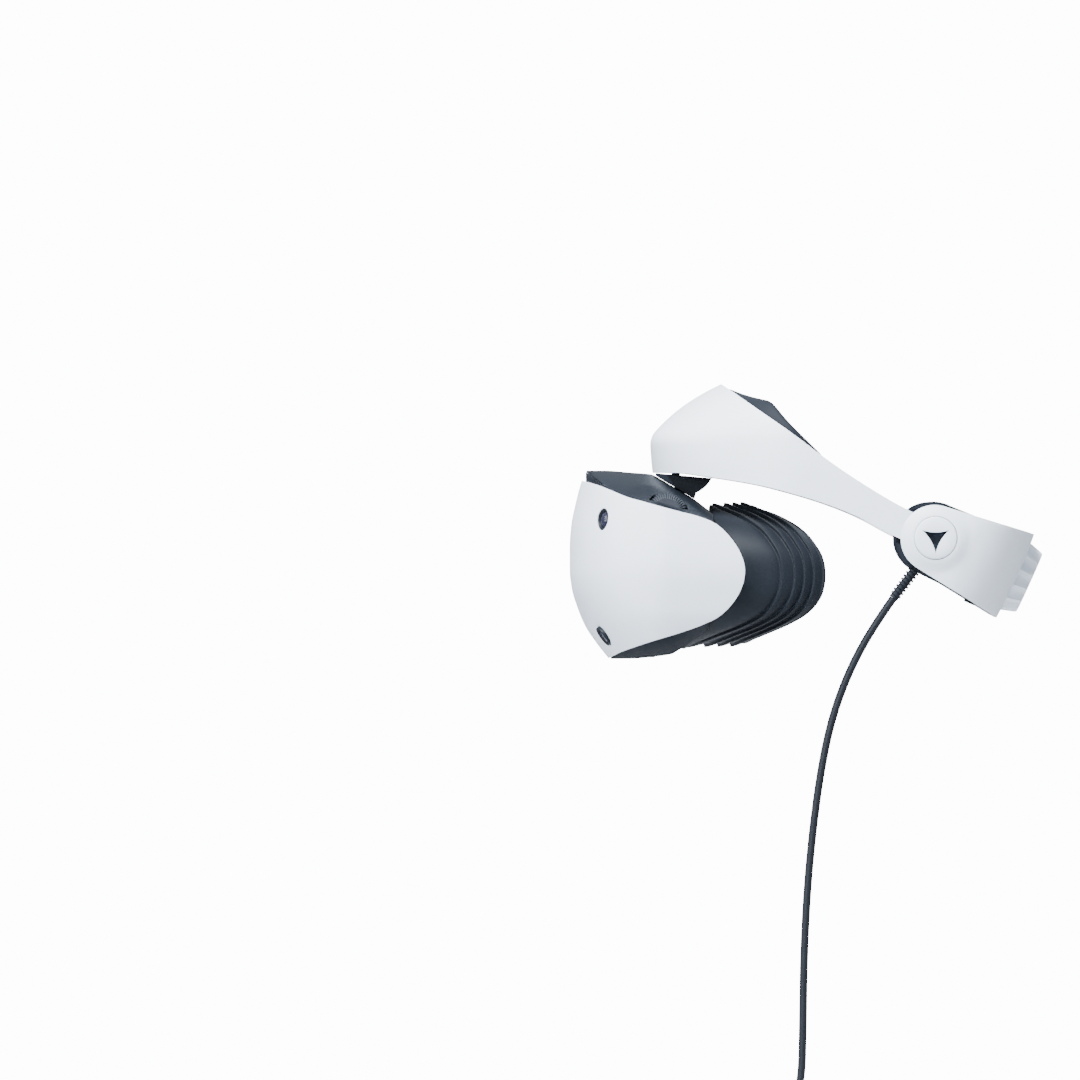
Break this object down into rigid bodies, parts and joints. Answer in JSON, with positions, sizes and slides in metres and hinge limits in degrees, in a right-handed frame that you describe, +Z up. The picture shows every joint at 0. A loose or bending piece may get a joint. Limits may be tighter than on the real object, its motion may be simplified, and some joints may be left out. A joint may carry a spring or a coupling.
{
  "type": "vr headset",
  "caption": "Halo-band virtual-reality headset with a sliding visor housing, bellows light shield, dial-adjusted rear strap unit and a hanging cable.",
  "frame": {"origin": "middle of the space for the wearer's head", "axes": "+X to the wearer's left, +Y to the rear of the head, +Z up"},
  "size_m": [0.204, 0.2631, 0.4387],
  "materials": {
    "white_cover": "fine satin moulding",
    "dark_cover": "satin blue-black",
    "soft_rubber": "matte soft rubber",
    "camera_glass": "coated glass",
    "optical_glass": "polished",
    "inner_plastic": "moulded",
    "steel": "turned",
    "plug_metal": "drawn",
    "circuit": "solder mask",
    "display": "glossy panel",
    "heat_sink": "extruded",
    "cable_jacket": "satin jacket"
  },
  "bodies": {
    "rear_unit": {"rear_outer_cover": "white_cover", "rear_inner_tray": "dark_cover", "rear_pad": "soft_rubber", "ear_tip_holder_left": "white_cover", "ear_tip_holder_right": "white_cover", "headphone_jack": "inner_plastic", "rear_screws": "steel", "strain_relief": "cable_jacket", "cable": "cable_jacket", "cable_coil": "cable_jacket", "cable_tie": "cable_jacket", "usb_plug_body": "cable_jacket", "usb_plug_tip": "plug_metal"},
    "dial": {"adjusting_dial": "white_cover", "dial_pinion": "inner_plastic"},
    "band_release": {"band_release_button": "white_cover"},
    "rack_left": {"strap_rack_left": "inner_plastic"},
    "rack_right": {"strap_rack_right": "inner_plastic"},
    "headband": {"band_outer_shell": "white_cover", "band_inner_frame": "dark_cover", "forehead_pad": "soft_rubber", "mount_arm": "dark_cover", "band_screws": "steel"},
    "scope": {"visor_shell": "white_cover", "top_cover": "dark_cover", "bottom_cover": "dark_cover", "vent_grille": "dark_cover", "face_plate": "dark_cover", "scope_chassis": "inner_plastic", "lens_rail": "steel", "mainboard": "circuit", "heat_sink": "heat_sink", "fan_housing": "inner_plastic", "haptic_motor": "steel", "scope_screws": "steel", "slide_housing": "dark_cover", "light_shield": "soft_rubber", "nose_flap": "soft_rubber", "camera_upper_left": "dark_cover", "camera_upper_left_window": "camera_glass", "camera_lower_left": "dark_cover", "camera_lower_left_window": "camera_glass", "camera_upper_right": "dark_cover", "camera_upper_right_window": "camera_glass", "camera_lower_right": "dark_cover", "camera_lower_right_window": "camera_glass"},
    "fan": {"fan_rotor": "inner_plastic"},
    "eye_left": {"lens_barrel_left": "inner_plastic", "lens_left": "optical_glass", "display_left": "display"},
    "eye_right": {"lens_barrel_right": "inner_plastic", "lens_right": "optical_glass", "display_right": "display"},
    "eye_wheel": {"ipd_wheel": "dark_cover", "ipd_leadscrew": "steel"},
    "scope_release": {"scope_release_button": "dark_cover"},
    "power": {"power_button": "dark_cover"},
    "function": {"function_button": "dark_cover"}
  },
  "joints": [
    {"name": "headband_slide", "type": "slide", "parent": "rear_unit", "child": "headband", "axis": [0, -0.9107, 0.4131], "range_m": [-0.008, 0.03]},
    {"name": "dial_turn", "type": "hinge", "parent": "rear_unit", "child": "dial", "pos_m": [0, 0.08566, -0.04773], "axis": [0, 0.9107, -0.4131], "range_deg": [-51.2, 191.4]},
    {"name": "rack_left_slide", "type": "slide", "parent": "rear_unit", "child": "rack_left", "axis": [1, 0, 0], "range_m": [-0.00802, 0.03002]},
    {"name": "rack_right_slide", "type": "slide", "parent": "rear_unit", "child": "rack_right", "axis": [-1, 0, 0], "range_m": [-0.00802, 0.03002]},
    {"name": "band_release_press", "type": "slide", "parent": "rear_unit", "child": "band_release", "axis": [0, -0.9107, 0.4131], "range_m": [0, 0.0025], "stiffness_N_per_m": 600, "springref_m": -0.0005},
    {"name": "scope_slide", "type": "slide", "parent": "headband", "child": "scope", "axis": [0, -0.9971, 0.0767], "range_m": [0, 0.016]},
    {"name": "fan_spin", "type": "hinge", "parent": "scope", "child": "fan", "pos_m": [0, -0.1352, -0.014], "axis": [0, 0, 1], "continuous": true},
    {"name": "eye_wheel_turn", "type": "hinge", "parent": "scope", "child": "eye_wheel", "pos_m": [0.077, -0.1081, -0.0131], "axis": [1, 0, 0], "range_deg": [-180.6, 180.6]},
    {"name": "eye_left_slide", "type": "slide", "parent": "scope", "child": "eye_left", "axis": [1, 0, 0], "range_m": [-0.0035, 0.0035]},
    {"name": "eye_right_slide", "type": "slide", "parent": "scope", "child": "eye_right", "axis": [-1, 0, 0], "range_m": [-0.00352, 0.00352]},
    {"name": "scope_release_press", "type": "slide", "parent": "scope", "child": "scope_release", "axis": [0, 0, -1], "range_m": [0, 0.0012], "stiffness_N_per_m": 400, "springref_m": -0.0005},
    {"name": "power_press", "type": "slide", "parent": "scope", "child": "power", "axis": [0, 0, 1], "range_m": [0, 0.0012], "stiffness_N_per_m": 400, "springref_m": -0.0005},
    {"name": "function_press", "type": "slide", "parent": "scope", "child": "function", "axis": [0, 0, 1], "range_m": [0, 0.0012], "stiffness_N_per_m": 400, "springref_m": -0.0005}
  ],
  "couplings": [
    {"joint": "dial_turn", "follows": "headband_slide", "rad_per_m": 111.11},
    {"joint": "rack_left_slide", "follows": "headband_slide", "ratio": 1},
    {"joint": "rack_right_slide", "follows": "headband_slide", "ratio": 1},
    {"joint": "eye_wheel_turn", "follows": "eye_left_slide", "rad_per_m": 897.6},
    {"joint": "eye_right_slide", "follows": "eye_left_slide", "ratio": 1}
  ]
}
